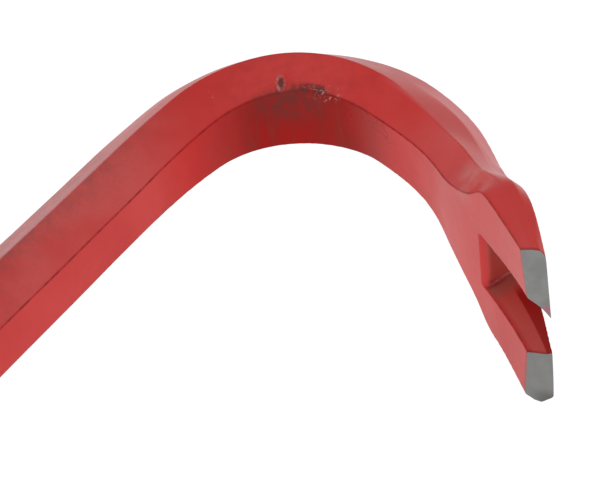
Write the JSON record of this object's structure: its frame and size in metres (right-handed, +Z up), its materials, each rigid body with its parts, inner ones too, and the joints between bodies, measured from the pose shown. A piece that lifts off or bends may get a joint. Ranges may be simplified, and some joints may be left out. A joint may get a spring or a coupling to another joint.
{
  "type": "gooseneck wrecking bar",
  "caption": "Hexagonal red wrecking bar with a gooseneck nail claw and a straight chisel end, its tips ground to bare steel.",
  "frame": {"origin": "on the floor under the middle of the bar's box, with the bar lying on its side", "axes": "+X along the shank towards the gooseneck, +Y away from the hook's inner side, +Z up, along the width of the claw"},
  "size_m": [0.6, 0.1188, 0.0454],
  "materials": {
    "red_paint": "semi-gloss paint over a rough forging",
    "ground_steel": "ground, uncoated"
  },
  "bodies": {
    "root": {"hex_shank": "red_paint", "bend_entry": "red_paint", "gooseneck_crown": "red_paint", "tapered_neck": "red_paint", "claw_root": "red_paint", "upper_prong": "red_paint", "lower_prong": "red_paint", "upper_ground_tip": "ground_steel", "lower_ground_tip": "ground_steel", "chisel_neck": "red_paint", "chisel_blade": "red_paint", "chisel_ground_edge": "ground_steel"}
  },
  "joints": []
}
